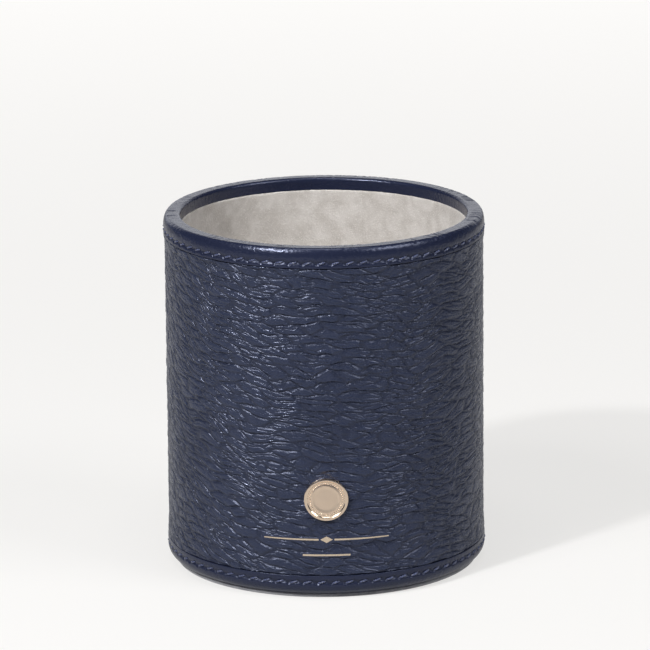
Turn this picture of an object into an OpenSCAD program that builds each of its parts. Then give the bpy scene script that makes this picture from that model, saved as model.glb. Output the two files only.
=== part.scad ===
// Pen holder cup: a stiff board tube covered in leather, with sewn leather bands round the rim
// and the base, a suede lining, a small metal badge and a foil-stamped rule on the front.
// Z is up, the origin is the middle of the underside, and the badge faces -Y.

/* [Cup] */
// Outside diameter over the leather bands
cup_d = 90; // [80:1:110]
// Height from the table to the top of the rim
cup_h = 100; // [80:1:125]

/* [Core] */
// Wall of the board tube that the leather is glued to
core_wall = 2.35; // [1.8:0.05:3]
// Thickness of the board that closes the tube's lower end
board_t = 2.5; // [1.5:0.1:4]
// Thickness of the card that carries the floor lining
card_t = 1.2; // [0.8:0.1:2]

/* [Leather] */
// Thickness of the grained leather round the body
wrap_t = 1.25; // [0.9:0.05:1.3]
// Thickness of the smooth leather of both bands
band_t = 0.9; // [0.75:0.05:1.1]
// Thickness left on the body leather where it is pared down under a band
skive_t = 0.4; // [0.3:0.05:0.5]
// Thickness left on the rim band where it is pared down behind the lining
flap_t = 0.3; // [0.2:0.05:0.4]
// Thickness of the stiffening tape under each band
tape_t = 0.25; // [0.15:0.05:0.4]
// Gap left open at every butted leather edge
edge_gap = 0.15; // [0.05:0.05:0.3]
// Angle from the middle of the back to the seam of the leather and the bands
seam_turn = 5; // [-20:1:20]

/* [Bands] */
// Height of the rim band on the outside
rim_band_h = 5.6; // [4.6:0.1:10]
// How far the rim band reaches down inside the cup
flap_drop = 8.1; // [5:0.1:15]
// Height of the base band above its underside
base_band_h = 5.8; // [4:0.1:10]
// How far the base band is turned in under the cup
tuck_w = 9; // [5:0.5:20]
// Radius of the rim's outer edge
rim_round = 1.4; // [1.2:0.1:2]
// Radius of the base's outer edge
base_round = 3.2; // [2:0.1:3.4]
// Length over which the rim tape thins to nothing below its band
rim_fade = 3; // [1:0.5:8]
// Length over which the base tape thins to nothing above its band
base_fade = 5.5; // [1:0.5:8]

/* [Stitching] */
// Number of stitches in each row
stitch_n = 72; // [48:2:88]
// Length of thread that shows in each stitch
stitch_len = 2.5; // [1.5:0.1:2.8]
// Diameter of the thread
thread_d = 0.5; // [0.4:0.05:0.6]
// Slope of each stitch, rising to the right
stitch_slant = 17; // [0:1:30]
// Distance from the top of the rim down to its stitch row
rim_stitch_drop = 4.1; // [3:0.1:4.4]
// Distance from the underside of the base band up to its stitch row
base_stitch_rise = 3.9; // [3.9:0.1:4.6]
// Depth of the groove that a stitch row lies in
groove_t = 0.3; // [0.1:0.05:0.4]
// Clearance between the ends of the stitches and the groove's sides
groove_fit = 0.02; // [0:0.01:0.1]
// Angle that the rim row is turned round from the front
rim_row_turn = 1.5; // [0:0.1:2.5]
// Angle that the base row is turned round from the front
base_row_turn = 0.6; // [0:0.1:2.5]

/* [Lining] */
// Thickness of the suede on the wall and on the floor
lining_t = 1.1; // [1:0.05:1.4]
// Distance from the top of the rim down to the wall lining's edge
lining_drop = 3.5; // [2:0.1:4.5]
// Clearance of the boards and the floor lining inside what they sit in
board_fit = 0.1; // [0.05:0.05:0.3]

/* [Base cover] */
// Thickness of the suede under the base
cover_t = 1.05; // [0.8:0.05:2]
// How far its edge is set back from the bands' outside
cover_inset = 2.4; // [1:0.1:5]

/* [Badge] */
// Diameter of the badge
badge_d = 12; // [8:0.5:16]
// Height of the badge's middle above the table
badge_z = 29; // [25:0.1:45]
// Thickness of the badge at its raised border
badge_t = 0.8; // [0.6:0.1:1]
// Width of the raised border
badge_border = 0.9; // [0.5:0.1:1.5]
// Depth of the badge's middle below the border
badge_recess = 0.3; // [0.1:0.05:0.4]
// Distance between the two prongs
prong_gap = 6; // [4:0.5:7]
// Width of a prong
prong_w = 2; // [1:0.1:2.5]
// Thickness of the prongs and of the backing plate
prong_t = 0.4; // [0.3:0.05:0.5]

/* [Foil rule] */
// Length of the long foil rule, measured round the cup
rule_w = 35.4; // [20:0.2:50]
// Height of the long rule's middle above the table
rule_z = 17.3; // [15:0.1:19]
// Length of the short foil rule
short_rule_w = 13.2; // [6:0.2:20]
// Height of the short rule's middle above the table
short_rule_z = 12.8; // [11:0.1:14]
// Width of a foil line
line_w = 0.5; // [0.3:0.05:0.8]
// Width of the lozenge in the middle of the long rule
lozenge_w = 3.4; // [2:0.1:5]
// Height of the lozenge
lozenge_h = 1.9; // [1:0.1:2.5]
// Thickness of the foil
foil_t = 0.06; // [0.04:0.01:0.1]

/* [Hidden] */
$fn = 120;

// Radii, from the outside in
r_band = cup_d / 2;
r_margin = r_band - band_t;
r_tape = r_margin - skive_t;
r_core = r_tape - tape_t;
r_bore = r_core - core_wall;
r_wrap = r_core + wrap_t;
r_rim_in = r_bore - band_t;
r_flap = r_bore - flap_t;
r_lining = r_bore - lining_t;
r_tuck = r_band - tuck_w;
r_cover = r_band - cover_inset;

// Heights, from the table up
z_tuck = cover_t;
z_core = z_tuck + band_t;
z_board = z_core + board_t;
z_card = z_board + card_t;
z_floor = z_card + lining_t;
z_base_edge = z_tuck + base_band_h;
z_base_row = z_tuck + base_stitch_rise;
z_rim_edge = cup_h - rim_band_h;
z_rim_row = cup_h - rim_stitch_drop;
z_lining = cup_h - lining_drop;
z_flap = cup_h - flap_drop;
z_core_top = cup_h - band_t;

// The groove is as wide as the sloping stitches need
groove_w = stitch_len * sin(stitch_slant) + thread_d + 2 * groove_fit;

// The base is rounded no further up than its stitch groove
base_fillet = min(base_round, base_stitch_rise - groove_w / 2);

// Centres of the rounded outer edges, shared by every layer
base_turn = [r_band - base_fillet, z_tuck + base_fillet];
rim_turn = [r_band - rim_round, cup_h - rim_round];

ARC_STEPS = 10;
LAP = 1; // how far a cutting shape runs past what it cuts
BACK = 90 + seam_turn;
FRONT = -90;

// Points of an arc about c, from angle a to angle b
function arc(c, r, a, b) =
    [for (i = [0 : ARC_STEPS]) c + r * [cos(a + (b - a) * i / ARC_STEPS), sin(a + (b - a) * i / ARC_STEPS)]];

// A stitch groove in a vertical face of radius r, for an outline that is going up the face
function groove(r, z) =
    [[r, z - groove_w / 2], [r - groove_t, z - groove_w / 2],
     [r - groove_t, z + groove_w / 2], [r, z + groove_w / 2]];

// Half section of all that the bands cover, grown outwards by g
module covered(g) {
    polygon(concat(
        [[r_tuck, z_core - g]],
        arc(base_turn, base_fillet - band_t + g, -90, 0),
        arc(rim_turn, rim_round - band_t + g, 0, 90),
        [[r_tuck, z_core_top + g]]));
}

// A leather strip bent into a ring, its ends butted at one side
module strip(seam_at) {
    seam = edge_gap / r_band * 180 / PI;
    rotate_extrude(angle = 360 - seam, start = seam_at + seam / 2) children();
}

// The outline of a 2-D shape on the front, carried straight in to the cup's middle
module on_front(z) {
    translate([0, 0, z]) rotate([90, 0, 0]) linear_extrude(r_band + LAP) children();
}

// A skin on the outside of the body leather, as thick as t
module skin(t) {
    difference() {
        cylinder(r = r_wrap + t, h = z_rim_edge);
        translate([0, 0, -LAP]) cylinder(r = r_wrap, h = z_rim_edge + 2 * LAP);
    }
}

module core_tube() {
    color("burlywood") difference() {
        rotate_extrude() intersection() {
            translate([r_bore, z_core]) square([core_wall, z_core_top - z_core]);
            covered(0);
        }
        washer_pocket();
    }
}

module base_board() {
    color("tan") translate([0, 0, z_core]) cylinder(r = r_bore - board_fit, h = board_t);
}

// Levels the underside inside the turned-in leather
module base_filler() {
    color("tan") translate([0, 0, z_tuck]) cylinder(r = r_tuck - board_fit, h = band_t);
}

module rim_tape() {
    color("white") strip(BACK) intersection() {
        polygon([[r_core, z_rim_edge - rim_fade], [r_tape, z_rim_edge],
                 [r_tape, cup_h], [r_core, cup_h]]);
        covered(0);
    }
}

module base_tape() {
    color("white") strip(BACK) intersection() {
        polygon([[r_core, 0], [r_tape, 0], [r_tape, z_base_edge], [r_core, z_base_edge + base_fade]]);
        covered(0);
    }
}

// The body leather swells over each tape and is pared down under each band
module outer_wrap() {
    r_swell = r_tape + wrap_t;
    color([0.16, 0.18, 0.26]) difference() {
        strip(BACK) intersection() {
            polygon([
                [r_tape, 0], [r_margin, 0],
                [r_margin, z_base_edge + edge_gap], [r_swell, z_base_edge + edge_gap],
                [r_wrap, z_base_edge + base_fade], [r_wrap, z_rim_edge - rim_fade],
                [r_swell, z_rim_edge - edge_gap], [r_margin, z_rim_edge - edge_gap],
                [r_margin, cup_h], [r_tape, cup_h],
                [r_tape, z_rim_edge], [r_core, z_rim_edge - rim_fade],
                [r_core, z_base_edge + base_fade], [r_tape, z_base_edge]]);
            union() {
                covered(0);
                translate([r_core, z_base_edge]) square([band_t + LAP + wrap_t, z_rim_edge - z_base_edge]);
            }
        }
        prongs(board_fit);
    }
}

// Folds over the top of the wall and reaches down inside, pared thin behind the lining
module rim_band() {
    color([0.13, 0.15, 0.22]) strip(BACK) polygon(concat(
        [[r_margin, z_rim_edge], [r_band, z_rim_edge]],
        groove(r_band, z_rim_row),
        arc(rim_turn, rim_round, 0, 90),
        arc([r_bore, z_core_top], band_t, 90, 180),
        [[r_rim_in, z_lining], [r_flap, z_lining], [r_flap, z_flap], [r_bore, z_flap],
         [r_bore, z_core_top]],
        arc(rim_turn, rim_round - band_t, 90, 0)));
}

// Wraps the foot of the wall and turns in under it
module base_band() {
    color([0.13, 0.15, 0.22]) strip(BACK) polygon(concat(
        [[r_tuck, z_core], [r_tuck, z_tuck]],
        arc(base_turn, base_fillet, -90, 0),
        groove(r_band, z_base_row),
        [[r_band, z_base_edge], [r_margin, z_base_edge]],
        arc(base_turn, base_fillet - band_t, 0, -90)));
}

// One row of stitches that lie in the groove of a band
module stitch_row(z, turn) {
    for (i = [0 : stitch_n - 1])
        rotate([0, 0, turn + (i + 0.5) * 360 / stitch_n])
            translate([0, groove_t - r_band - thread_d / 2, z])
                rotate([0, 90 - stitch_slant, 0])
                    cylinder(d = thread_d, h = stitch_len, center = true, $fn = 16);
}

module rim_stitching() {
    color([0.1, 0.11, 0.17]) stitch_row(z_rim_row, rim_row_turn);
}

module base_stitching() {
    color([0.1, 0.11, 0.17]) stitch_row(z_base_row, base_row_turn);
}

// Stands on the base board and covers the rim band's pared flap, its ends butted at the front
module wall_lining() {
    color([0.76, 0.74, 0.72]) strip(FRONT) polygon([
        [r_lining, z_board], [r_bore, z_board],
        [r_bore, z_flap - edge_gap], [r_flap, z_flap - edge_gap],
        [r_flap, z_lining - edge_gap], [r_lining, z_lining - edge_gap]]);
}

module floor_card() {
    color("tan") translate([0, 0, z_board]) cylinder(r = r_lining - board_fit, h = card_t);
}

module floor_lining() {
    color([0.76, 0.74, 0.72]) translate([0, 0, z_card]) cylinder(r = r_lining - board_fit, h = lining_t);
}

module base_cover() {
    color([0.6, 0.6, 0.62]) cylinder(r = r_cover, h = cover_t);
}

// The backing plate is flat, so it sits where its ends just meet the tube's outside
washer_w = prong_gap + 2 * prong_w;
washer_h = prong_w * 2;
y_washer = sqrt(r_core * r_core - washer_w * washer_w / 4);
foot_w = prong_w * 0.8;

// The two prongs' legs, grown by c so that the same shape cuts their slots
module prongs(c) {
    for (side = [-1, 1])
        translate([side * prong_gap / 2 - prong_t / 2 - c, -r_wrap - prong_t / 2, badge_z - prong_w / 2 - c])
            cube([prong_t + 2 * c, r_wrap - y_washer + 2.5 * prong_t, prong_w + 2 * c]);
}

// The prongs' ends, bent over outwards behind the backing plate
module prong_feet() {
    for (side = [-1, 1])
        translate([side * prong_gap / 2 - prong_t / 2 - (side < 0 ? foot_w : 0),
                   prong_t - y_washer, badge_z - prong_w / 2])
            cube([foot_w + prong_t, prong_t, prong_w]);
}

module washer_pocket() {
    translate([-washer_w / 2 - board_fit, -r_core - LAP, badge_z - washer_h / 2 - board_fit])
        cube([washer_w + 2 * board_fit, r_core + LAP - y_washer + 2 * prong_t + board_fit,
              washer_h + 2 * board_fit]);
}

// A plain round plate bent to the cup, with a raised border and two prongs
module badge_plate() {
    color("gold") union() {
        intersection() {
            skin(badge_t);
            on_front(badge_z) circle(d = badge_d);
            difference() {
                translate([0, 0, badge_z - badge_d]) cylinder(r = r_band + LAP, h = 2 * badge_d);
                intersection() {
                    on_front(badge_z) circle(d = badge_d - 2 * badge_border);
                    translate([0, 0, badge_z - badge_d]) difference() {
                        cylinder(r = r_band + 2 * LAP, h = 2 * badge_d);
                        translate([0, 0, -LAP])
                            cylinder(r = r_wrap + badge_t - badge_recess, h = 2 * badge_d + 2 * LAP);
                    }
                }
            }
        }
        prongs(0);
        prong_feet();
    }
}

module badge_washer() {
    color("silver") difference() {
        translate([-washer_w / 2, -y_washer, badge_z - washer_h / 2]) cube([washer_w, prong_t, washer_h]);
        prongs(board_fit);
    }
}

// Half the width that a length round the cup has when it is seen from straight ahead
function half_chord(w) = r_wrap * sin(w / 2 / r_wrap * 180 / PI);

// A fine rule broken by a lozenge, over a shorter rule
module foil_mark() {
    gap = lozenge_w / 2 + line_w;
    long = half_chord(rule_w);
    short = half_chord(short_rule_w);
    color("gold") intersection() {
        skin(foil_t);
        union() {
            on_front(rule_z) union() {
                translate([gap, -line_w / 2]) square([long - gap, line_w]);
                translate([-long, -line_w / 2]) square([long - gap, line_w]);
                polygon([[-lozenge_w / 2, 0], [0, -lozenge_h / 2], [lozenge_w / 2, 0], [0, lozenge_h / 2]]);
            }
            on_front(short_rule_z) translate([-short, -line_w / 2]) square([2 * short, line_w]);
        }
    }
}

core_tube();
base_board();
base_filler();
rim_tape();
base_tape();
outer_wrap();
rim_band();
base_band();
rim_stitching();
base_stitching();
wall_lining();
floor_card();
floor_lining();
base_cover();
badge_plate();
badge_washer();
foil_mark();
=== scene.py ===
# A leather pen cup on a pale studio floor. Lengths in the dictionaries are in millimetres.
import bpy
import math
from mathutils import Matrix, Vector


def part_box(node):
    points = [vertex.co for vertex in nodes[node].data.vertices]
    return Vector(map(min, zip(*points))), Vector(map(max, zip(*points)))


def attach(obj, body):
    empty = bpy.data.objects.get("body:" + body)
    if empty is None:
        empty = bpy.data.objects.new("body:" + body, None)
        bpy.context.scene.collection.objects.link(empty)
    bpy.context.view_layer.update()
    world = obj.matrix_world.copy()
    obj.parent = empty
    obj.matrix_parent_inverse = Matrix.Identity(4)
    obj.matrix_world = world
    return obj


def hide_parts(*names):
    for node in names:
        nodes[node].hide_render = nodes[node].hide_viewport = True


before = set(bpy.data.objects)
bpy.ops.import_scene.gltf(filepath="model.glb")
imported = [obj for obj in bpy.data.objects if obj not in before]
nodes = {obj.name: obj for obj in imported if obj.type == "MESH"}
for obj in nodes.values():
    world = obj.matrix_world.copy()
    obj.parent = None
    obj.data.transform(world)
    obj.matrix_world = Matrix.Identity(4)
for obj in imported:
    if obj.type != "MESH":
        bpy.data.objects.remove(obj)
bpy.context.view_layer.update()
mm = 0.001


# small tools for nodes

def linear(hexColour):
    # an sRGB hex value as linear light
    parts = [int(hexColour[i:i + 2], 16) / 255 for i in (1, 3, 5)]
    return [c / 12.92 if c <= 0.04045 else ((c + 0.055) / 1.055) ** 2.4 for c in parts] + [1.0]


def addNode(tree, kind, mode=None, *values, take=0, **named):
    # adds a node and gives one of its outputs, or all of them when take is None. mode is its main choice, such
    # as an operation; values fill its sockets in order; a named one goes to a socket, by name or number as n6
    node = tree.nodes.new(kind if hasattr(bpy.types, kind) else "ShaderNode" + kind)
    if mode:
        choices = [c for c in ("operation", "interpolation_type", "feature", "data_type") if hasattr(node, c)]
        setattr(node, choices[0], mode)
    sockets = list(enumerate(values))
    for key, value in named.items():
        if key[0].isupper():
            sockets.append((key.replace("_", " "), value))
        elif key[1:].isdigit():
            sockets.append((int(key[1:]), value))
        else:
            setattr(node, key, value)
    for key, value in sockets:
        if isinstance(value, bpy.types.NodeSocket):
            tree.links.new(value, node.inputs[key])
        else:
            node.inputs[key].default_value = value
    return node.outputs if take is None else node.outputs[take]


def wander(tree, place, scale, reach, detail=2.0):
    # place pushed about by up to half of reach on each axis
    push = addNode(tree, "VectorMath", "SUBTRACT",
                   addNode(tree, "TexNoise", Vector=place, Scale=scale, Detail=detail, take="Color"),
                   (0.5, 0.5, 0.5))
    return addNode(tree, "VectorMath", "MULTIPLY_ADD", push, reach, place)


def unrolled(tree, place):
    # where a point lies on the flat leather: way round from the front, height and radius, in millimetres
    x, y, z = addNode(tree, "SeparateXYZ", None, place, take=None)
    turn = addNode(tree, "Math", "ARCTAN2", x, addNode(tree, "Math", "MULTIPLY", y, -1.0))
    radius = addNode(tree, "Math", "SQRT", addNode(tree, "Math", "MULTIPLY_ADD", x, x,
                                                   addNode(tree, "Math", "MULTIPLY", y, y)))
    return (addNode(tree, "Math", "MULTIPLY", turn, cup["radius"]), addNode(tree, "Math", "DIVIDE", z, mm),
            addNode(tree, "Math", "DIVIDE", radius, mm))


def newMaterial(name, colour, roughness, **fixed):
    # fixed are values for the shader's own sockets
    material = bpy.data.materials.new(name)
    material.use_nodes = True
    material.diffuse_color = linear(colour)
    shader = material.node_tree.nodes["Principled BSDF"]
    shader.inputs["Base Color"].default_value = linear(colour)
    shader.inputs["Roughness"].default_value = roughness
    for key, value in fixed.items():
        shader.inputs[key.replace("_", " ")].default_value = value
    place = addNode(material.node_tree, "TexCoord", take="Object")
    return material, material.node_tree, shader, place


# small tools for meshes

def choose(piece):
    bpy.ops.object.select_all(action="DESELECT")
    piece.select_set(True)
    bpy.context.view_layer.objects.active = piece


def drawn(points, angle, closed):
    # draws (radius, height) points, corner by corner, in the upright plane at angle
    places = [Vector((r * math.cos(angle), r * math.sin(angle), z)) * mm for r, z in points]
    bpy.ops.object.select_all(action="DESELECT")
    bpy.ops.mesh.primitive_plane_add(size=mm)
    bpy.ops.object.mode_set(mode="EDIT")
    bpy.ops.mesh.merge(type="CENTER")
    bpy.ops.transform.translate(value=places[0])
    for a, b in zip(places, places[1:]):
        bpy.ops.mesh.extrude_vertices_move(TRANSFORM_OT_translate={"value": b - a})
    bpy.ops.object.mode_set(mode="OBJECT")
    piece = bpy.context.object
    if closed:
        for i, vertex in enumerate(piece.data.vertices):
            vertex.select = i in (0, len(places) - 1)
        bpy.ops.object.mode_set(mode="EDIT")
        bpy.ops.mesh.edge_face_add()
        bpy.ops.object.mode_set(mode="OBJECT")
    return piece


def spun(name, points, steps, seamAt=None, gap=0.05, closed=True):
    # sweeps an outline round the cup; with seamAt it has two ends, half a gap either side of that angle
    half = gap / 2 / cup["radius"] if seamAt is not None else 0.0
    piece = drawn(points, (seamAt or 0.0) + half, closed)
    piece.name = name
    bpy.ops.object.modifier_add(type="SCREW")
    turn = piece.modifiers[-1]
    turn.angle, turn.steps, turn.render_steps = 2 * math.pi - 2 * half, steps, steps
    turn.use_merge_vertices = seamAt is None
    bpy.ops.object.modifier_apply(modifier=turn.name)
    bpy.ops.object.mode_set(mode="EDIT")
    bpy.ops.mesh.select_all(action="SELECT")
    bpy.ops.mesh.remove_doubles(threshold=0.002 * mm)
    if seamAt is not None:
        bpy.ops.mesh.fill_holes(sides=0)
    bpy.ops.mesh.select_all(action="SELECT")
    bpy.ops.mesh.normals_make_consistent(inside=False)
    bpy.ops.object.mode_set(mode="OBJECT")
    return piece


def arc(centre, radius, startAngle, endAngle, steps=6, tall=None):
    # points of an arc in an outline's plane; with tall, of an oval one
    turns = [math.radians(startAngle + (endAngle - startAngle) * i / steps) for i in range(steps + 1)]
    return [(centre[0] + radius * math.cos(a), centre[1] + (tall or radius) * math.sin(a)) for a in turns]


def run(a, b, pitch):
    # points from a to just short of b, about pitch apart
    count = max(1, round(math.dist(a, b) / pitch))
    return [(a[0] + (b[0] - a[0]) * i / count, a[1] + (b[1] - a[1]) * i / count) for i in range(count)]


def reshape(piece, build):
    # moves the points of a piece by a Geometry Nodes tree whose offset build() makes, and applies it
    tree = bpy.data.node_groups.new("reshape", "GeometryNodeTree")
    tree.interface.new_socket("Geometry", in_out="INPUT", socket_type="NodeSocketGeometry")
    tree.interface.new_socket("Geometry", in_out="OUTPUT", socket_type="NodeSocketGeometry")
    start, end = tree.nodes.new("NodeGroupInput"), tree.nodes.new("NodeGroupOutput")
    place = addNode(tree, "GeometryNodeInputPosition")
    moved = addNode(tree, "GeometryNodeSetPosition", Geometry=start.outputs[0], Offset=build(tree, place))
    tree.links.new(moved, end.inputs[0])
    choose(piece)
    bpy.ops.object.modifier_add(type="NODES")
    piece.modifiers[-1].node_group = tree
    bpy.ops.object.modifier_apply(modifier=piece.modifiers[-1].name)


def alongNormal(tree, height):
    # an offset of height, in millimetres, straight off the surface
    normal = addNode(tree, "GeometryNodeInputNormal")
    return addNode(tree, "VectorMath", "SCALE", normal, Scale=addNode(tree, "Math", "MULTIPLY", height, mm))


def wrapRound(piece):
    # bends a piece that was modelled flat, in front of the cup and facing the camera, round the cup's axis
    def build(tree, place):
        x, y, z = addNode(tree, "SeparateXYZ", None, place, take=None)
        radius = addNode(tree, "Math", "MULTIPLY", y, -1.0)
        turn = addNode(tree, "Math", "DIVIDE", x, body["radius"] * mm)
        bent = addNode(tree, "CombineXYZ", None,
                       addNode(tree, "Math", "MULTIPLY", radius, addNode(tree, "Math", "SINE", turn)),
                       addNode(tree, "Math", "MULTIPLY", y, addNode(tree, "Math", "COSINE", turn)), z)
        return addNode(tree, "VectorMath", "SUBTRACT", bent, place)
    reshape(piece, build)


def finished(piece, material, slotName, *nodeNames, smoothAngle=40):
    choose(piece)
    bpy.ops.object.shade_smooth_by_angle(angle=math.radians(smoothAngle))
    piece.data.materials.clear()
    piece.data.materials.append(material)
    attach(piece, "root")
    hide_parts(*nodeNames)
    print(piece.name, len(piece.data.polygons), "faces")


def painted(nodeName, material):
    nodes[nodeName].data.materials.clear()
    nodes[nodeName].data.materials.append(material)


# sizes that several pieces share, from the frame

def low(node, axis):
    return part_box(node)[0][axis] / mm


def high(node, axis):
    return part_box(node)[1][axis] / mm


cup = {
    "radius": high("base_band", 0),
    "top": high("rim_band", 2),
    "foot": low("base_band", 2),
    "board": high("core_tube", 0),
    "bore": high("wall_lining", 0),
    "floor": low("floor_lining", 2),
    "rimRow": (low("rim_stitching", 2) + high("rim_stitching", 2)) / 2,
    "baseRow": (low("base_stitching", 2) + high("base_stitching", 2)) / 2,
    "bandThickness": 0.9,
    "stitches": 72,
    "rimTurn": 1.5,                     # degrees that each stitch row is turned from the front
    "baseTurn": 0.6,
    "seamAt": math.radians(95),         # where the leather ends meet, just off the middle of the back
}
cup["margin"] = cup["radius"] - cup["bandThickness"]
cup["stitchPitch"] = 2 * math.pi * cup["radius"] / cup["stitches"]
print("frame loaded: cup", round(cup["top"]), "mm high and", round(2 * cup["radius"]), "mm across")


# body leather

mark = {
    "ruleHeight": high("foil_mark", 2) - 0.95,
    "shortHeight": low("foil_mark", 2) + 0.25,
    "ruleHalf": 17.7, "shortHalf": 6.6,
    "line": 0.5,
    "lozenge": (3.4, 1.9),
    "thickness": 0.05,
}

body = {
    "radius": cup["board"] + 1.25,
    "swell": cup["radius"] - 0.05,      # where it runs over the tape, next to a band
    "edgeGap": 0.15,
    "curl": 0.15,                       # radius of its shoulder beside a band
    "hem": 0.35,                        # thickness of its pared edges, hidden under the bands
    "hemBelowTop": 1.6,
    "hemAboveFoot": 3.4,
    "baseEdge": high("base_band", 2),
    "baseFade": high("base_tape", 2),
    "rimEdge": cup["top"] - 5.6,
    "rimFade": low("rim_tape", 2),
    "steps": 300,                       # faces round the cup
    "rowPitch": 0.31,                   # height of a face, fine enough for a crease
    "flow": 8.0,                        # how far the rows of grain climb from the front to the sides
    "cell": (7.2, 2.6),                 # width and height of a large pebble
    "fineCell": (3.4, 1.35),            # and of the small ones inside it
    "overlap": 0.27,                    # how far a pebble stands over the one below it
    "valley": 0.3,                      # half width of the dip between large pebbles, as a share of one
    "valleyDepth": 0.12,
    "crease": 0.15,                     # half width of the sharp crease at the bottom of the dip
    "creaseDepth": 0.27,
    "fineOverlap": 0.1,
    "fineDepth": 0.17,
    "tooth": 0.17,                      # height of the small bumps between the creases
}


def stamped(tree, around, height):
    # 1 where the foil was pressed on, 0 elsewhere
    def patch(middle, half, tall):
        across = addNode(tree, "MapRange", "SMOOTHSTEP", addNode(tree, "Math", "ABSOLUTE", around),
                         half + 0.2, half + 0.9, 1.0, 0.0)
        up = addNode(tree, "MapRange", "SMOOTHSTEP",
                     addNode(tree, "Math", "ABSOLUTE", addNode(tree, "Math", "SUBTRACT", height, middle)),
                     tall, tall + 0.5, 1.0, 0.0)
        return addNode(tree, "Math", "MULTIPLY", across, up)
    lines = addNode(tree, "Math", "MAXIMUM", patch(mark["ruleHeight"], mark["ruleHalf"], 0.35),
                    patch(mark["shortHeight"], mark["shortHalf"], 0.35))
    return addNode(tree, "Math", "MAXIMUM", lines, patch(mark["ruleHeight"], mark["lozenge"][0] / 2, 0.9))


def pebbles(tree, bent, size, shift):
    # a skewed lattice of cells: the share of the way in from a cell's edge, and how far below its middle
    across, up, _ = addNode(tree, "SeparateXYZ", None, bent, take=None)
    row = addNode(tree, "Math", "DIVIDE", up, size[1])
    column = addNode(tree, "Math", "MULTIPLY_ADD", row, 0.5, addNode(tree, "Math", "DIVIDE", across, size[0]))
    place = addNode(tree, "CombineXYZ", None, addNode(tree, "Math", "ADD", column, shift), row, 0.0)
    edge = addNode(tree, "TexVoronoi", "DISTANCE_TO_EDGE", Vector=place, Scale=1.0, Randomness=0.8,
                   voronoi_dimensions="2D", take="Distance")
    middle = addNode(tree, "TexVoronoi", Vector=place, Scale=1.0, Randomness=0.8, voronoi_dimensions="2D",
                     take="Position")
    below = addNode(tree, "SeparateXYZ", None, addNode(tree, "VectorMath", "SUBTRACT", middle, place), take=1)
    return edge, below


def grain(tree, around, height):
    # the tumbled grain as two heights in millimetres: dips between pebbles, then creases and fine bumps
    bowl = addNode(tree, "Math", "SUBTRACT", 1.0,
                   addNode(tree, "Math", "COSINE", addNode(tree, "Math", "DIVIDE", around, cup["radius"])))
    sunk = addNode(tree, "Math", "MULTIPLY_ADD", bowl, -body["flow"], height)
    flat = addNode(tree, "CombineXYZ", None, around, sunk, 0.0)
    bent = wander(tree, wander(tree, flat, 0.05, (14, 8, 0)), 0.25, (1.3, 0.8, 0))
    patches = addNode(tree, "TexNoise", Vector=flat, Scale=0.12, Detail=2.0)
    large, lowerLarge = pebbles(tree, bent, body["cell"], 0.0)
    small, lowerSmall = pebbles(tree, bent, body["fineCell"], 7.3)
    deepness = addNode(tree, "MapRange", "SMOOTHSTEP",
                       addNode(tree, "TexNoise", Vector=flat, Scale=0.35, Detail=1.0), 0.34, 0.6, 0.45, 1.0)
    fromEdge = addNode(tree, "MapRange", "SMOOTHSTEP", large, 0.0, 0.12)
    lap = addNode(tree, "Math", "MULTIPLY", addNode(tree, "Math", "MULTIPLY", lowerLarge, fromEdge),
                  body["overlap"])
    dip = addNode(tree, "MapRange", "SMOOTHSTEP", large, 0.0, body["valley"], -body["valleyDepth"], 0.0)
    broad = addNode(tree, "Math", "MULTIPLY", deepness, addNode(tree, "Math", "ADD", lap, dip))
    crease = addNode(tree, "MapRange", "LINEAR", large, 0.0, body["crease"], -body["creaseDepth"], 0.0)
    sharp = addNode(tree, "Math", "MULTIPLY", deepness, crease)
    some = addNode(tree, "MapRange", "SMOOTHSTEP", patches, 0.36, 0.6, 1.0, 0.35)
    fromEdge = addNode(tree, "MapRange", "SMOOTHSTEP", small, 0.0, 0.14)
    lapSmall = addNode(tree, "Math", "MULTIPLY", addNode(tree, "Math", "MULTIPLY", lowerSmall, fromEdge),
                       body["fineOverlap"])
    crease = addNode(tree, "MapRange", "LINEAR", small, 0.0, 0.25, -body["fineDepth"], 0.0)
    little = addNode(tree, "Math", "MULTIPLY", some, addNode(tree, "Math", "ADD", lapSmall, crease))
    tooth = addNode(tree, "TexNoise", Vector=flat, Scale=1.3, Detail=3.0, Roughness=0.65)
    fine = addNode(tree, "Math", "ADD", addNode(tree, "Math", "ADD", sharp, little),
                   addNode(tree, "Math", "MULTIPLY", addNode(tree, "Math", "SUBTRACT", tooth, 0.5),
                           body["tooth"]))
    kept = addNode(tree, "Math", "SUBTRACT", 1.0, stamped(tree, around, height))
    return addNode(tree, "Math", "MULTIPLY", broad, kept), addNode(tree, "Math", "MULTIPLY", fine, kept)


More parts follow.
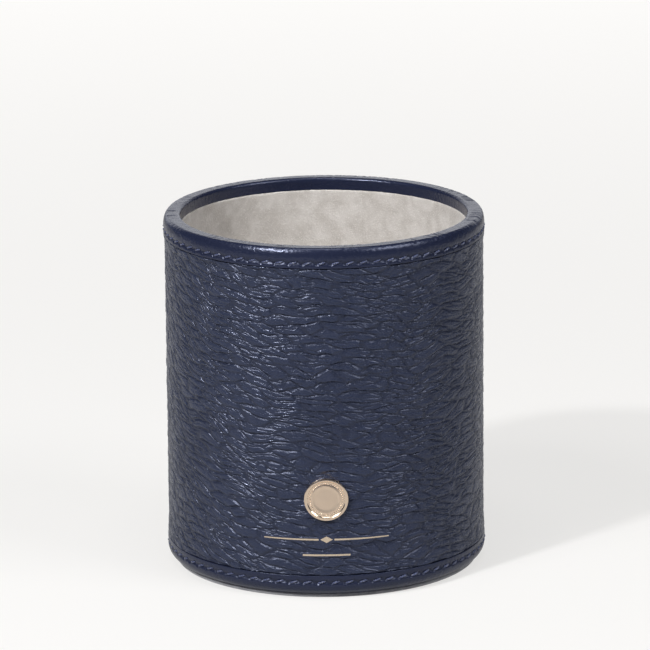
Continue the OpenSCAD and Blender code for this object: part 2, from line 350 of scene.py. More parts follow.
def leather(name, colour, deepColour, roughness, relief):
    # what both leathers share; relief() gives two heights in millimetres: what the mesh lacks, and the whole
    material, tree, shader, place = newMaterial(name, colour, roughness, IOR=1.55,
                                                Specular_Tint=linear("#d9e1ff"))
    around, height, radius = unrolled(tree, place)
    rest, whole = relief(tree, around, height, radius)
    # pores and the tooth of the finish, about 0.4 mm apart
    pores = addNode(tree, "TexNoise", Vector=place, Scale=2600.0, Detail=2.0, Roughness=0.6)
    pitted = addNode(tree, "Math", "MULTIPLY_ADD", pores, 0.014, rest)
    tree.links.new(addNode(tree, "Bump", Height=pitted, Distance=mm), shader.inputs["Normal"])
    # painted shade: the leather is darker in the creases and hollows of its relief, where shade falls, and the
    # dye also lies unevenly over the hide
    cloud = addNode(tree, "TexNoise", Vector=place, Scale=45.0, Detail=3.0)
    share = addNode(tree, "Math", "MULTIPLY",
                    addNode(tree, "MapRange", "SMOOTHSTEP", whole, -0.2, -0.05, 0.5, 1.0),
                    addNode(tree, "MapRange", "SMOOTHSTEP", cloud, 0.25, 0.75, 0.75, 1.0))
    tree.links.new(addNode(tree, "Mix", "RGBA", share, n6=linear(deepColour), n7=linear(colour), take=2),
                   shader.inputs["Base Color"])
    worn = addNode(tree, "MapRange", "SMOOTHSTEP", addNode(tree, "Math", "MULTIPLY_ADD", cloud, 0.06, whole),
                   -0.1, 0.06, roughness + 0.12, roughness)
    tree.links.new(worn, shader.inputs["Roughness"])
    return material


def grainForBump(tree, around, height, radius):
    broad, fine = grain(tree, around, height)
    return fine, addNode(tree, "Math", "ADD", broad, fine)


# aniline-dyed calf, tumbled until it creases: dark blue, with a satin finish that picks out the crease edges
grainedCalf = leather("grainedCalf", "#2e3448", "#181c2c", 0.2, grainForBump)

lip, edge = body["swell"], body["edgeGap"]
wrapLow, wrapHigh = body["baseEdge"] + edge, body["rimEdge"] - edge
hemR, boardR, curl = cup["margin"] - body["hem"], cup["board"] + 0.02, body["curl"]
hemTop, hemFoot = cup["top"] - body["hemBelowTop"], cup["foot"] + body["hemAboveFoot"]
outline = [(cup["margin"], wrapLow)] + arc((lip - curl, wrapLow + curl), curl, -90, 0, 3)
outline += run((lip, wrapLow + 2 * curl), (body["radius"], body["baseFade"]), body["rowPitch"])
outline += run((body["radius"], body["baseFade"]), (body["radius"], body["rimFade"]), body["rowPitch"])
outline += run((body["radius"], body["rimFade"]), (lip, wrapHigh - 0.2), body["rowPitch"])
outline += arc((lip - curl, wrapHigh - curl), curl, 0, 90, 3) + [(cup["margin"], wrapHigh)]
outline += [(cup["margin"], hemTop), (hemR, hemTop), (hemR, body["rimEdge"]), (boardR, body["rimFade"]),
            (boardR, body["baseFade"]), (hemR, body["baseEdge"]), (hemR, hemFoot), (cup["margin"], hemFoot)]
bodyLeather = spun("bodyLeather", outline, body["steps"], cup["seamAt"])


def pressGrain(tree, place):
    around, height, radius = unrolled(tree, place)
    outside = addNode(tree, "MapRange", "SMOOTHSTEP", radius, body["radius"] - 0.4, body["radius"] - 0.1)
    return alongNormal(tree, addNode(tree, "Math", "MULTIPLY", grain(tree, around, height)[0], outside))


reshape(bodyLeather, pressGrain)
finished(bodyLeather, grainedCalf, "grained_leather", "outer_wrap")


# rim band and base band

band = {
    "steps": 720,
    "rowPitch": 0.35,
    "cutRound": 0.14,                   # radius of the burnished cut edge
    "rimRound": 1.4,
    "rimBelly": 3.0,                    # the rim's outer corner is taller than it is deep
    "baseRound": 3.2,
    "tuck": 9.0,
    "flap": 0.3,
    "groove": 0.2,                      # depth of the line that the stitches pull down
    "grooveHalf": 0.75,
    "hole": 0.22,                       # depth of the dimple at each end of a stitch
    "gather": 0.1,                      # depth of the puckers on top of the rim
    "wave": 0.05,
}

stitch = {"length": 2.5, "thread": 0.56, "slant": math.radians(17), "dive": 0.5, "lift": 0.02}


def sewn(tree, around, height, row, turn):
    # the line that a row of stitches presses into a band, with a dimple at the ends of each stitch
    fromRow = addNode(tree, "Math", "SUBTRACT", height, row)
    line = addNode(tree, "MapRange", "SMOOTHSTEP", addNode(tree, "Math", "ABSOLUTE", fromRow), 0.0,
                   band["grooveHalf"], -band["groove"], 0.0)
    steps = addNode(tree, "Math", "SUBTRACT", addNode(tree, "Math", "DIVIDE", around, cup["stitchPitch"]),
                    turn / 360 * cup["stitches"])
    along = addNode(tree, "Math", "MULTIPLY",
                    addNode(tree, "Math", "SUBTRACT", addNode(tree, "Math", "FRACT", steps), 0.5),
                    cup["stitchPitch"])
    holes = 0.0
    for side in (-1, 1):
        dx = addNode(tree, "Math", "SUBTRACT", along, side * stitch["length"] / 2)
        dz = addNode(tree, "Math", "SUBTRACT", fromRow,
                     side * stitch["length"] / 2 * math.sin(stitch["slant"]))
        off = addNode(tree, "Math", "SQRT", addNode(tree, "Math", "MULTIPLY_ADD", dx, dx,
                                                    addNode(tree, "Math", "MULTIPLY", dz, dz)))
        holes = addNode(tree, "Math", "ADD", holes,
                        addNode(tree, "MapRange", "SMOOTHSTEP", off, 0.1, 0.65, -band["hole"], 0.0))
    return addNode(tree, "Math", "ADD", line, holes)


def bandRelief(tree, around, height, radius):
    # both bands: stitch lines, puckers where the leather turns over the rim, and a slight unevenness
    place = addNode(tree, "CombineXYZ", None, around, height, radius)
    rows = addNode(tree, "Math", "ADD", sewn(tree, around, height, cup["rimRow"], cup["rimTurn"]),
                   sewn(tree, around, height, cup["baseRow"], cup["baseTurn"]))
    outside = addNode(tree, "MapRange", "SMOOTHSTEP", radius, cup["margin"] + 0.2, cup["margin"] + 0.6)
    rows = addNode(tree, "Math", "MULTIPLY", rows, outside)
    long = addNode(tree, "VectorMath", "MULTIPLY", wander(tree, place, 0.3, (1.2, 0, 0)), (1, 0.12, 0.12))
    pucker = addNode(tree, "MapRange", "SMOOTHSTEP",
                     addNode(tree, "TexNoise", Vector=long, Scale=0.85, Detail=1.5), 0.36, 0.52,
                     -band["gather"], 0.0)
    onTop = addNode(tree, "Math", "MULTIPLY",
                    addNode(tree, "MapRange", "SMOOTHSTEP", height, cup["top"] - 1.3, cup["top"] - 0.1),
                    addNode(tree, "MapRange", "SMOOTHSTEP", radius, cup["bore"] - 0.5, cup["bore"] + 1.0))
    bunched = addNode(tree, "MapRange", "SMOOTHSTEP",
                      addNode(tree, "TexNoise", Vector=place, Scale=0.05, Detail=1.0), 0.42, 0.6, 0.1, 1.0)
    pucker = addNode(tree, "Math", "MULTIPLY", pucker, addNode(tree, "Math", "MULTIPLY", onTop, bunched))
    slow = addNode(tree, "TexNoise", Vector=place, Scale=0.16, Detail=2.0)
    uneven = addNode(tree, "Math", "MULTIPLY", addNode(tree, "Math", "SUBTRACT", slow, 0.5), 2 * band["wave"])
    return addNode(tree, "Math", "ADD", addNode(tree, "Math", "ADD", rows, pucker), uneven)


def bandForBump(tree, around, height, radius):
    whole = bandRelief(tree, around, height, radius)
    place = addNode(tree, "CombineXYZ", None, around, height, radius)
    pebbled = addNode(tree, "TexNoise", Vector=place, Scale=0.95, Detail=2.5, Roughness=0.55)
    return addNode(tree, "Math", "MULTIPLY_ADD", pebbled, 0.14,
                   addNode(tree, "Math", "MULTIPLY", whole, 0.35)), whole


# the same calf, plated smooth before it was cut into strips: fine pores and a soft shine
smoothCalf = leather("smoothCalf", "#20253a", "#14182a", 0.24, bandForBump)


def pressBand(tree, place):
    around, height, radius = unrolled(tree, place)
    outside = addNode(tree, "MapRange", "SMOOTHSTEP", radius, cup["margin"] + 0.1, cup["margin"] + 0.5)
    onTop = addNode(tree, "MapRange", "SMOOTHSTEP", height, cup["top"] - 0.8, cup["top"] - 0.3)
    relief = bandRelief(tree, around, height, radius)
    shown = addNode(tree, "Math", "MAXIMUM", outside, onTop)
    return alongNormal(tree, addNode(tree, "Math", "MULTIPLY", relief, shown))


cut, outerR = band["cutRound"], cup["radius"]
rimCorner = (outerR - band["rimRound"], cup["top"] - band["rimBelly"])
rimInner = cup["bore"] - cup["bandThickness"]
liningTop = high("wall_lining", 2) + edge
outline = [(cup["margin"], body["rimEdge"])] + arc((outerR - cut, body["rimEdge"] + cut), cut, -90, 0, 3)
outline += run((outerR, body["rimEdge"] + 2 * cut), (outerR, rimCorner[1]), band["rowPitch"])
outline += arc(rimCorner, band["rimRound"], 0, 90, 12, band["rimBelly"])[:-1]
outline += run((rimCorner[0], cup["top"]), (cup["bore"], cup["top"]), band["rowPitch"])
outline += arc((cup["bore"], cup["top"] - 0.9), 0.9, 90, 180, 6)[:-1]
outline += run((rimInner, cup["top"] - 0.9), (rimInner, liningTop), 0.6)
outline += [(rimInner, liningTop), (cup["bore"] - band["flap"], liningTop),
            (cup["bore"] - band["flap"], low("rim_band", 2)), (cup["bore"], low("rim_band", 2)),
            (cup["bore"], cup["top"] - cup["bandThickness"])]
outline += arc(rimCorner, band["rimRound"] - cup["bandThickness"], 90, 0, 5,
               band["rimBelly"] - cup["bandThickness"])
rimBand = spun("rimBand", outline, band["steps"], cup["seamAt"])
reshape(rimBand, pressBand)
finished(rimBand, smoothCalf, "smooth_leather", "rim_band")

baseCorner = (outerR - band["baseRound"], cup["foot"] + band["baseRound"])
inside = band["baseRound"] - cup["bandThickness"]
outline = run((outerR - band["tuck"], cup["foot"]), (baseCorner[0], cup["foot"]), 1.6)
outline += arc(baseCorner, band["baseRound"], -90, 0, 14)[:-1]
outline += run((outerR, baseCorner[1]), (outerR, body["baseEdge"] - 2 * cut), band["rowPitch"])
outline += arc((outerR - cut, body["baseEdge"] - cut), cut, 0, 90, 3) + [(cup["margin"], body["baseEdge"])]
outline += arc(baseCorner, inside, 0, -90, 7)
outline += [(outerR - band["tuck"], cup["foot"] + cup["bandThickness"])]
baseBand = spun("baseBand", outline, band["steps"], cup["seamAt"])
reshape(baseBand, pressBand)
finished(baseBand, smoothCalf, "smooth_leather", "base_band")


# stitching

# waxed linen thread, laid from fine plies: blue, paler than the leather, with a waxy glint along each stitch
waxedThread, tree, shader, place = newMaterial("waxedThread", "#474e6c", 0.3, IOR=1.55, Sheen_Weight=0.15)
around, height, radius = unrolled(tree, place)
# the plies cross the thread at a slant, drawn 0.45 mm apart, a little coarser than real so that they show
ply = addNode(tree, "Math", "SINE", addNode(tree, "Math", "MULTIPLY",
                                            addNode(tree, "Math", "SUBTRACT", around, height),
                                            2 * math.pi / 0.45))
tree.links.new(addNode(tree, "Bump", Height=addNode(tree, "Math", "MULTIPLY", ply, 0.02), Distance=mm),
               shader.inputs["Normal"])
# painted shade: the thread is darker in the grooves between its plies and lighter on their crowns
tree.links.new(addNode(tree, "Mix", "RGBA", addNode(tree, "MapRange", "SMOOTHSTEP", ply, -1.0, 0.6),
                       n6=linear("#2a304a"), n7=linear("#565e80"), take=2),
               shader.inputs["Base Color"])


def stitchRow(name, row, turn, nodeName):
    # one stitch is modelled at the front, and the others are copies of it turned about the cup's axis
    across = cup["radius"] - 0.1 + stitch["lift"]
    bpy.ops.object.select_all(action="DESELECT")
    bpy.ops.mesh.primitive_cylinder_add(vertices=8, radius=stitch["thread"] / 2 * mm,
                                        depth=stitch["length"] * mm,
                                        rotation=(0, math.pi / 2, 0))
    thread = bpy.context.object
    thread.name = name
    bpy.ops.object.transform_apply(rotation=True)
    bpy.ops.object.mode_set(mode="EDIT")
    for side in range(1, 8):
        bpy.ops.mesh.select_all(action="SELECT")
        bpy.ops.mesh.bisect(plane_co=((side / 8 - 0.5) * stitch["length"] * mm, 0, 0), plane_no=(1, 0, 0))
    bpy.ops.object.mode_set(mode="OBJECT")

    def bow(tree, place):
        # both ends dive into their holes and draw in
        share = addNode(tree, "Math", "ABSOLUTE",
                        addNode(tree, "Math", "DIVIDE", addNode(tree, "SeparateXYZ", None, place),
                                stitch["length"] / 2 * mm))
        dive = addNode(tree, "Math", "MULTIPLY", addNode(tree, "Math", "POWER", share, 3.0),
                       stitch["dive"] * mm)
        thin = addNode(tree, "VectorMath", "MULTIPLY", place, (0, -0.3, -0.3))
        shrink = addNode(tree, "VectorMath", "SCALE", thin, Scale=addNode(tree, "Math", "POWER", share, 4.0))
        return addNode(tree, "VectorMath", "ADD", addNode(tree, "CombineXYZ", n1=dive), shrink)
    reshape(thread, bow)
    thread.rotation_euler = (0, -stitch["slant"], 0)
    thread.location = (0, -across * mm, row * mm)
    choose(thread)
    bpy.ops.object.transform_apply(location=True, rotation=True)
    thread.rotation_euler = (0, 0, math.radians(turn + 180 / cup["stitches"]))
    bpy.ops.object.transform_apply(rotation=True)
    bpy.ops.object.empty_add(rotation=(0, 0, 2 * math.pi / cup["stitches"]))
    oneStep = bpy.context.object
    choose(thread)
    bpy.ops.object.modifier_add(type="ARRAY")
    copies = thread.modifiers[-1]
    copies.count = cup["stitches"]
    copies.use_relative_offset = False
    copies.use_object_offset = True
    copies.offset_object = oneStep
    bpy.ops.object.modifier_apply(modifier=copies.name)
    bpy.data.objects.remove(oneStep)

    def stray(tree, place):
        # no two stitches lie quite alike
        push = addNode(tree, "TexNoise", Vector=place, Scale=170.0, Detail=1.0, take="Color")
        push = addNode(tree, "VectorMath", "SUBTRACT", push, (0.5, 0.5, 0.5))
        return addNode(tree, "VectorMath", "MULTIPLY", push, (0.25 * mm,) * 3)
    reshape(thread, stray)
    finished(thread, waxedThread, "thread", nodeName)


stitchRow("rimStitching", cup["rimRow"], cup["rimTurn"], "rim_stitching")
stitchRow("baseStitching", cup["baseRow"], cup["baseTurn"], "base_stitching")


# suede: wall lining, floor and the cover under the base

lining = {
    "inner": cup["bore"] - 1.1,
    "steps": 640,
    "fuzz": 0.22,                       # how far the nap strays past the cut edge
    "round": 0.35,
}


def suede(name, colour, deepColour, tuftHighlightColour):
    # split calf buffed to a nap: matt, with lighter and darker patches where the nap lies differently
    material, tree, shader, place = newMaterial(name, colour, 0.95, IOR=1.45, Sheen_Weight=0.35,
                                                Sheen_Roughness=0.4)
    swept = addNode(tree, "TexNoise", Vector=wander(tree, place, 60.0, (0.012,) * 3), Scale=260.0, Detail=3.0)
    # the nap itself, tufts drawn about 0.4 mm apart, a little coarser than real so that they show
    tufts = addNode(tree, "TexNoise", Vector=place, Scale=2300.0, Detail=3.0, Roughness=0.75)
    knots = addNode(tree, "TexNoise", Vector=place, Scale=800.0, Detail=2.0, Roughness=0.6)
    shade = addNode(tree, "Mix", "RGBA", addNode(tree, "MapRange", "SMOOTHSTEP", swept, 0.25, 0.75),
                    n6=linear(deepColour), n7=linear(colour), take=2)
    # painted highlight: the raised tufts of the nap are drawn lighter
    tuftHighlight = addNode(tree, "MapRange", "SMOOTHSTEP", tufts, 0.5, 0.72, 0.0, 0.7)
    shade = addNode(tree, "Mix", "RGBA", tuftHighlight, n6=shade, n7=linear(tuftHighlightColour), take=2)
    tree.links.new(shade, shader.inputs["Base Color"])
    nap = addNode(tree, "Math", "MULTIPLY_ADD", tufts, 0.16, addNode(tree, "Math", "MULTIPLY", knots, 0.12))
    tree.links.new(addNode(tree, "Bump", Height=nap, Distance=mm), shader.inputs["Normal"])
    return material


liningSuede = suede("liningSuede", "#d2cdc8", "#bdb7b1", "#e4e0dc")
coverSuede = suede("coverSuede", "#a9a9ad", "#8f8f94", "#bdbdc0")

top, floorTop = high("wall_lining", 2), high("floor_lining", 2)
outline = run((lining["inner"], cup["floor"] - 1.2), (lining["inner"], top - 4), 4.0)
outline += run((lining["inner"], top - 4), (lining["inner"], top - lining["round"]), 0.5)
outline += arc((lining["inner"] + lining["round"], top - lining["round"]), lining["round"], 180, 90, 4)
outline += [(cup["bore"] - band["flap"], top), (cup["bore"] - band["flap"], low("rim_band", 2) - edge),
            (cup["bore"], low("rim_band", 2) - edge), (cup["bore"], cup["floor"] - 1.2)]
wallLining = spun("wallLining", outline[::-1], lining["steps"], math.radians(-90), 0.1)


def fluff(tree, place):
    around, height, radius = unrolled(tree, place)
    nearTop = addNode(tree, "MapRange", "SMOOTHSTEP", height, top - 1.4, top - 0.1)
    shown = addNode(tree, "MapRange", "SMOOTHSTEP", radius, cup["bore"] - 0.45, cup["bore"] - 0.7)
    stray = addNode(tree, "VectorMath", "SUBTRACT",
                    addNode(tree, "TexNoise", Vector=place, Scale=900.0, Detail=3.0, Roughness=0.7,
                            take="Color"), (0.5, 0.5, 0.42))
    edgeStray = addNode(tree, "VectorMath", "MULTIPLY", stray,
                        (lining["fuzz"] * 2.2 * mm, lining["fuzz"] * 2.2 * mm, lining["fuzz"] * 4 * mm))
    return addNode(tree, "VectorMath", "SCALE", edgeStray,
                   Scale=addNode(tree, "Math", "MULTIPLY", shown,
                                 addNode(tree, "Math", "MAXIMUM", nearTop, 0.12)))


reshape(wallLining, fluff)
finished(wallLining, liningSuede, "suede", "wall_lining", smoothAngle=60)

floorR = high("floor_lining", 0)
outline = [(0, cup["floor"]), (floorR, cup["floor"]), (floorR, floorTop - 0.4)]
outline += arc((floorR - 0.4, floorTop - 0.4), 0.4, 0, 90, 4)
outline += run((floorR - 1.2, floorTop), (2, floorTop), 1.2) + [(0, floorTop)]
floorLining = spun("floorLining", outline, 240, closed=False)


def unevenFloor(tree, place):
    rise = addNode(tree, "TexNoise", Vector=place, Scale=90.0, Detail=2.0, take="Color")
    rise = addNode(tree, "VectorMath", "SUBTRACT", rise, (0.5, 0.5, 0.5))
    return addNode(tree, "VectorMath", "MULTIPLY", rise, (0, 0, 0.3 * mm))


reshape(floorLining, unevenFloor)
finished(floorLining, liningSuede, "suede", "floor_lining")

coverR, coverTop = high("base_cover", 0), high("base_cover", 2)
outline = [(0, 0), (coverR - 0.25, 0)] + arc((coverR - 0.25, 0.25), 0.25, -90, 0, 4)[1:]
outline += [(coverR, coverTop - 0.15), (coverR - 0.15, coverTop), (0, coverTop)]
baseCover = spun("baseCover", outline, 360, closed=False)
finished(baseCover, coverSuede, "cover_suede", "base_cover")


# badge

badge = {
    "radius": 6.0, "thickness": 0.8,
    "beads": 44, "beadRing": 4.45, "bead": 0.21,
    "height": (low("badge_plate", 2) + high("badge_plate", 2)) / 2,
}

# thin gilt brass, its border polished and its middle brushed flat before plating
giltBrass, tree, shader, place = newMaterial("giltBrass", "#ecd6bf", 0.22, Metallic=1.0)
stretch = addNode(tree, "VectorMath", "MULTIPLY", place, (60, 60, 5200))
brushing = addNode(tree, "TexNoise", Vector=stretch, Scale=1.0, Detail=3.0, Roughness=0.65)
offMiddle = addNode(tree, "VectorMath", "SUBTRACT", place, (0, 0, badge["height"] * mm))
dx, _, dz = addNode(tree, "SeparateXYZ", None, offMiddle, take=None)
off = addNode(tree, "Math", "SQRT", addNode(tree, "Math", "MULTIPLY_ADD", dx, dx,
                                            addNode(tree, "Math", "MULTIPLY", dz, dz)))
middle = addNode(tree, "MapRange", "SMOOTHSTEP", off, 4.0 * mm, 4.2 * mm, 1.0, 0.0)
brushed = addNode(tree, "Math", "MULTIPLY", addNode(tree, "Math", "MULTIPLY", brushing, 0.02), middle)
tree.links.new(addNode(tree, "Bump", Height=brushed, Distance=mm), shader.inputs["Normal"])
tree.links.new(addNode(tree, "Math", "MULTIPLY_ADD",
                       addNode(tree, "Math", "MULTIPLY_ADD", brushing, 0.2, 0.12), middle, 0.18),
               shader.inputs["Roughness"])

bpy.ops.object.select_all(action="DESELECT")
bpy.ops.mesh.primitive_cylinder_add(vertices=128, radius=badge["radius"] * mm, depth=badge["thickness"] * mm,
                                    rotation=(math.pi / 2, 0, 0))
badgePlate = bpy.context.object
badgePlate.name = "badgePlate"
bpy.ops.object.transform_apply(rotation=True)


def pickFront(piece):
    bpy.ops.object.mode_set(mode="EDIT")
    bpy.ops.mesh.select_all(action="DESELECT")
    bpy.ops.object.mode_set(mode="OBJECT")
    for face in piece.data.polygons:
        face.select = face.normal.y < -0.9 and len(face.vertices) > 8
    bpy.ops.object.mode_set(mode="EDIT")


pickFront(badgePlate)
# border, bead channel, inner fillet and middle, one inset after another: (inset, depth)
for inset, sink in ((0.18, -0.1), (0.5, 0.0), (0.16, 0.12), (0.12, 0.14),
                    (1.15, 0.0), (0.1, -0.06), (0.14, 0.0), (0.1, 0.06)):
    bpy.ops.mesh.inset(thickness=inset * mm, depth=0)
    bpy.ops.transform.translate(value=(0, sink * mm, 0))
for inset in (0.8, 0.8, 0.8, 0.7):
    bpy.ops.mesh.inset(thickness=inset * mm, depth=0)
    bpy.ops.transform.translate(value=(0, -0.02 * mm, 0))
bpy.ops.mesh.poke()
bpy.ops.object.mode_set(mode="OBJECT")
pieces = [badgePlate]
for i in range(badge["beads"]):
    a = 2 * math.pi * i / badge["beads"]
    bpy.ops.mesh.primitive_uv_sphere_add(
        segments=10, ring_count=6, radius=badge["bead"] * mm,
        location=(badge["beadRing"] * math.cos(a) * mm, -0.2 * mm, badge["beadRing"] * math.sin(a) * mm))
    pieces.append(bpy.context.object)
for legSide in (-1, 1):
    bpy.ops.mesh.primitive_cube_add(size=1, location=(legSide * 3 * mm, 1.1 * mm, 0))
    bpy.context.object.scale = (0.4 * mm, 1.6 * mm, 2 * mm)
    pieces.append(bpy.context.object)
bpy.ops.object.select_all(action="DESELECT")
for part in pieces:
    part.select_set(True)
bpy.context.view_layer.objects.active = badgePlate
bpy.ops.object.transform_apply(location=True, rotation=True, scale=True)
bpy.ops.object.join()
badgePlate.location = (0, -(body["radius"] + badge["thickness"] / 2) * mm, badge["height"] * mm)
bpy.ops.object.transform_apply(location=True)
wrapRound(badgePlate)
finished(badgePlate, giltBrass, "gilt", "badge_plate", smoothAngle=35)


# foil rule

# gold foil stamped hot onto the leather: bright and thin, a little crumpled by the grain beneath
stampedFoil, tree, shader, place = newMaterial("stampedFoil", "#ecd9c0", 0.3, Metallic=1.0)
crumple = addNode(tree, "TexNoise", Vector=place, Scale=1500.0, Detail=3.0, Roughness=0.6)
tree.links.new(addNode(tree, "Bump", Height=addNode(tree, "Math", "MULTIPLY", crumple, 0.03), Distance=mm),
               shader.inputs["Normal"])
tree.links.new(addNode(tree, "MapRange", "SMOOTHSTEP", crumple, 0.3, 0.7, 0.24, 0.42),
               shader.inputs["Roughness"])


def foilStrip(halfLength, middle, height, halfTall):
    # a strip from -halfLength to halfLength of middle; halfTall() gives its half height there
    bpy.ops.object.select_all(action="DESELECT")
    bpy.ops.mesh.primitive_plane_add(size=1, rotation=(math.pi / 2, 0, 0))
    strip = bpy.context.object
    strip.scale = (2 * halfLength * mm, mm, mm)
    strip.location = (middle * mm, 0, 0)
    bpy.ops.object.transform_apply(location=True, rotation=True, scale=True)
    cuts = 2 * math.ceil(halfLength)
    bpy.ops.object.mode_set(mode="EDIT")
    for i in range(1, cuts):
        bpy.ops.mesh.select_all(action="SELECT")
        bpy.ops.mesh.bisect(plane_co=((middle - halfLength + 2 * halfLength * i / cuts) * mm, 0, 0),
                            plane_no=(1, 0, 0))
    bpy.ops.object.mode_set(mode="OBJECT")
    for vertex in strip.data.vertices:
        side = 1 if vertex.co.z > 0 else -1
        vertex.co.z = (height + side * halfTall(vertex.co.x / mm - middle)) * mm
    bpy.ops.object.mode_set(mode="EDIT")
    bpy.ops.mesh.select_all(action="SELECT")
    bpy.ops.mesh.extrude_region_move(TRANSFORM_OT_translate={"value": (0, -mark["thickness"] * mm, 0)})
    bpy.ops.mesh.select_all(action="SELECT")
    bpy.ops.mesh.normals_make_consistent(inside=False)
    bpy.ops.object.mode_set(mode="OBJECT")
    return strip


thin, wide, tall = mark["line"] / 2, mark["lozenge"][0] / 2, mark["lozenge"][1] / 2
armStart = wide + mark["line"]
armHalf, armMiddle = (mark["ruleHalf"] - armStart) / 2, (mark["ruleHalf"] + armStart) / 2
strips = [foilStrip(wide, 0, mark["ruleHeight"], lambda x: max(0.02, tall * (1 - abs(x) / wide))),
          foilStrip(armHalf, -armMiddle, mark["ruleHeight"], lambda x: thin * (0.8 + 0.2 * x / armHalf)),
          foilStrip(armHalf, armMiddle, mark["ruleHeight"], lambda x: thin * (0.8 - 0.2 * x / armHalf)),
          foilStrip(mark["shortHalf"], 0, mark["shortHeight"], lambda x: thin)]
bpy.ops.object.select_all(action="DESELECT")
for strip in strips:
    strip.select_set(True)
foilRule = strips[0]
bpy.context.view_layer.objects.active = foilRule
bpy.ops.object.join()
foilRule.name = "foilRule"
foilRule.location = (0, -(body["radius"] - 0.02) * mm, 0)
bpy.ops.object.transform_apply(location=True)
wrapRound(foilRule)
finished(foilRule, stampedFoil, "foil", "foil_mark")


# what the leather hides

# grey board rolled and cut from recycled pulp: dull brown, with darker fibres
greyBoard, tree, shader, place = newMaterial("greyBoard", "#a8957a", 0.9)
fibres = addNode(tree, "TexNoise", Vector=addNode(tree, "VectorMath", "MULTIPLY", place, (1, 1, 0.35)),
                 Scale=900.0, Detail=4.0, Roughness=0.7)
tree.links.new(addNode(tree, "Mix", "RGBA", addNode(tree, "MapRange", "SMOOTHSTEP", fibres, 0.35, 0.65),
                       n6=linear("#8a785f"), n7=linear("#b5a388"), take=2),
               shader.inputs["Base Color"])
tree.links.new(addNode(tree, "Bump", Height=addNode(tree, "Math", "MULTIPLY", fibres, 0.05), Distance=mm),
               shader.inputs["Normal"])

# bonded polyester tape: off-white, with pressed dots half a millimetre apart
bondedTape, tree, shader, place = newMaterial("bondedTape", "#d8d5cc", 0.85)
dots = addNode(tree, "TexVoronoi", Vector=place, Scale=2000.0, take="Distance")
tree.links.new(addNode(tree, "Mix", "RGBA", addNode(tree, "MapRange", "SMOOTHSTEP", dots, 0.2, 0.5),
                       n6=linear("#c2bfb5"), n7=linear("#dedbd3"), take=2),
               shader.inputs["Base Color"])
tree.links.new(addNode(tree, "Bump", Height=addNode(tree, "Math", "MULTIPLY", dots, 0.04), Distance=mm),
               shader.inputs["Normal"])

# nickel-plated steel plate, tumbled smooth
platedSteel, tree, shader, place = newMaterial("platedSteel", "#c9c7c1", 0.35, Metallic=1.0)
tumble = addNode(tree, "TexNoise", Vector=place, Scale=1800.0, Detail=2.0)
tree.links.new(addNode(tree, "MapRange", "SMOOTHSTEP", tumble, 0.3, 0.7, 0.28, 0.45),
               shader.inputs["Roughness"])

for name in ("core_tube", "base_board", "base_filler", "floor_card"):
    painted(name, greyBoard)
for name in ("rim_tape", "base_tape"):
    painted(name, bondedTape)
painted("badge_washer", platedSteel)
print("hidden pieces painted")


# studio

studio = {
    "lens": 298.0, "distance": 1515.9, "tilt": 14.75, "roll": -0.51, "lookAt": (0.1, 0.0, 66.82),
    "floor": 12000.0,
    "glowNear": 0.68, "glowFar": 0.9,   # the floor as the camera sees it, close to the cup and far off
    "near": (150.0, 1100.0),            # distances between which one turns into the other
    "cupSees": 0.36, "farOff": 0.02,    # and as the cup sees it
    "table": (500.0, 1200.0),
    "diffuseShare": 0.35,
    "wall": "#7782a0", "ceiling": "#35373c",
    "wallTop": (0.02, 0.12),            # sine of the elevation at which the walls turn into the ceiling
}

# place, size, power and what each is aimed at
softboxes = {
    "keySoftbox": ((-650, -700, 1150), (400, 300), 5, (0, 0, 50)),
    "lowSoftbox": ((-800, -900, 1000), (110, 90), 17, (0, 0, 50)),
    "rightSoftbox": ((1000, -600, 1000), (700, 500), 9, (0, 0, 50)),
    "topSoftbox": ((0, -300, 1500), (700, 500), 5, (0, 0, 50)),
    "backSoftbox": ((0, 1500, 500), (2400, 800), 6, (0, 0, 60)),
}

bpy.ops.object.select_all(action="DESELECT")
bpy.ops.mesh.primitive_plane_add(size=studio["floor"] * mm)
studioFloor = bpy.context.object
studioFloor.name = "studioFloor"
# opal acrylic, lit softly from underneath, so that shadows on it stay light
opalAcrylic, tree, shader, place = newMaterial("opalAcrylic", "#8f8e8d", 1.0, IOR=1.0)
shader.inputs["Emission Color"].default_value = linear("#f7f6f4")
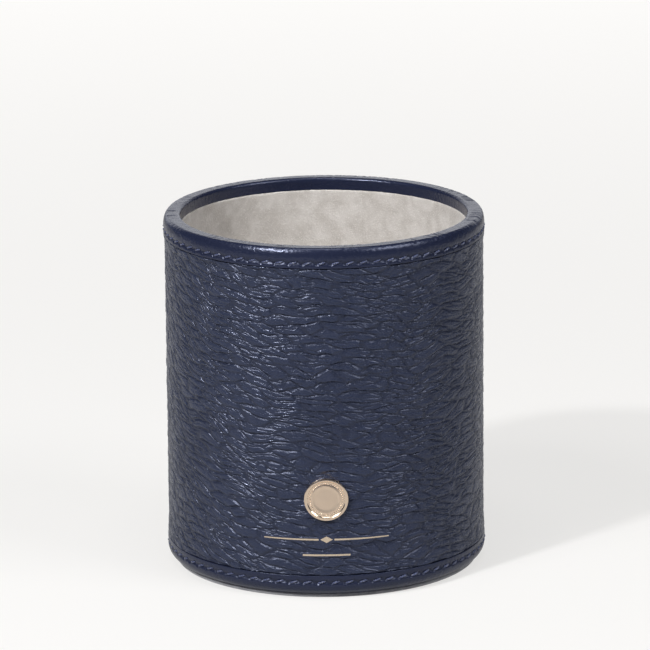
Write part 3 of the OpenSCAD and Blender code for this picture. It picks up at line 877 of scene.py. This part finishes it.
# the cup itself sees a dimmer one that fades out round it, as a small lit table does in a dark room
ray = addNode(tree, "LightPath", take=None)
fromCup = addNode(tree, "VectorMath", "LENGTH", place, take="Value")
shining = addNode(tree, "MapRange", "SMOOTHSTEP", fromCup, studio["table"][0] * mm, studio["table"][1] * mm,
                  studio["cupSees"], studio["farOff"])
glow = addNode(tree, "MapRange", "SMOOTHSTEP", fromCup, studio["near"][0] * mm, studio["near"][1] * mm,
               studio["glowNear"], studio["glowFar"])
# what a rough surface gathers from below is kept lower still, so that folds stay dark underneath
share = addNode(tree, "MapRange", "SMOOTHSTEP", ray["Is Diffuse Ray"], 0.0, 1.0, 1.0, studio["diffuseShare"])
shining = addNode(tree, "Math", "MULTIPLY", shining, share)
strength = addNode(tree, "Mix", "FLOAT", ray["Is Camera Ray"], n2=shining, n3=glow)
tree.links.new(strength, shader.inputs["Emission Strength"])
studioFloor.data.materials.append(opalAcrylic)

tilt, roll = math.radians(studio["tilt"]), math.radians(studio["roll"])
target = Vector(studio["lookAt"]) * mm
away = Vector((0, -math.cos(tilt), math.sin(tilt)))
bpy.ops.object.camera_add(location=target + away * studio["distance"] * mm)
camera = bpy.context.object
camera.name = "studioCamera"
camera.rotation_euler = (math.pi / 2 - tilt, 0, 0)
camera.rotation_euler.rotate_axis("Z", roll)
camera.data.lens, camera.data.sensor_width = studio["lens"], 36.0
camera.data.clip_start, camera.data.clip_end = 0.05, 50.0
bpy.context.scene.camera = camera

for name, (place, size, power, aim) in softboxes.items():
    bpy.ops.object.light_add(type="AREA", location=Vector(place) * mm)
    lamp = bpy.context.object
    lamp.name = name
    lamp.data.shape = "RECTANGLE"
    lamp.data.size, lamp.data.size_y = size[0] * mm, size[1] * mm
    lamp.data.energy = power
    lamp.visible_camera = False
    lamp.rotation_euler = (Vector(aim) - Vector(place)).to_track_quat("-Z", "Y").to_euler()

world = bpy.data.worlds.new("studioAir")
bpy.context.scene.world = world
world.use_nodes = True
tree = world.node_tree
# pale low walls under a dim ceiling
up = addNode(tree, "SeparateXYZ", None, addNode(tree, "TexCoord", take="Generated"), take=2)
air = addNode(tree, "Mix", "RGBA", addNode(tree, "MapRange", "SMOOTHSTEP", up, *studio["wallTop"]),
              n6=linear(studio["wall"]), n7=linear(studio["ceiling"]), take=2)
tree.links.new(air, tree.nodes["Background"].inputs["Color"])
bpy.context.scene.view_settings.view_transform = "Standard"
print("studio ready")
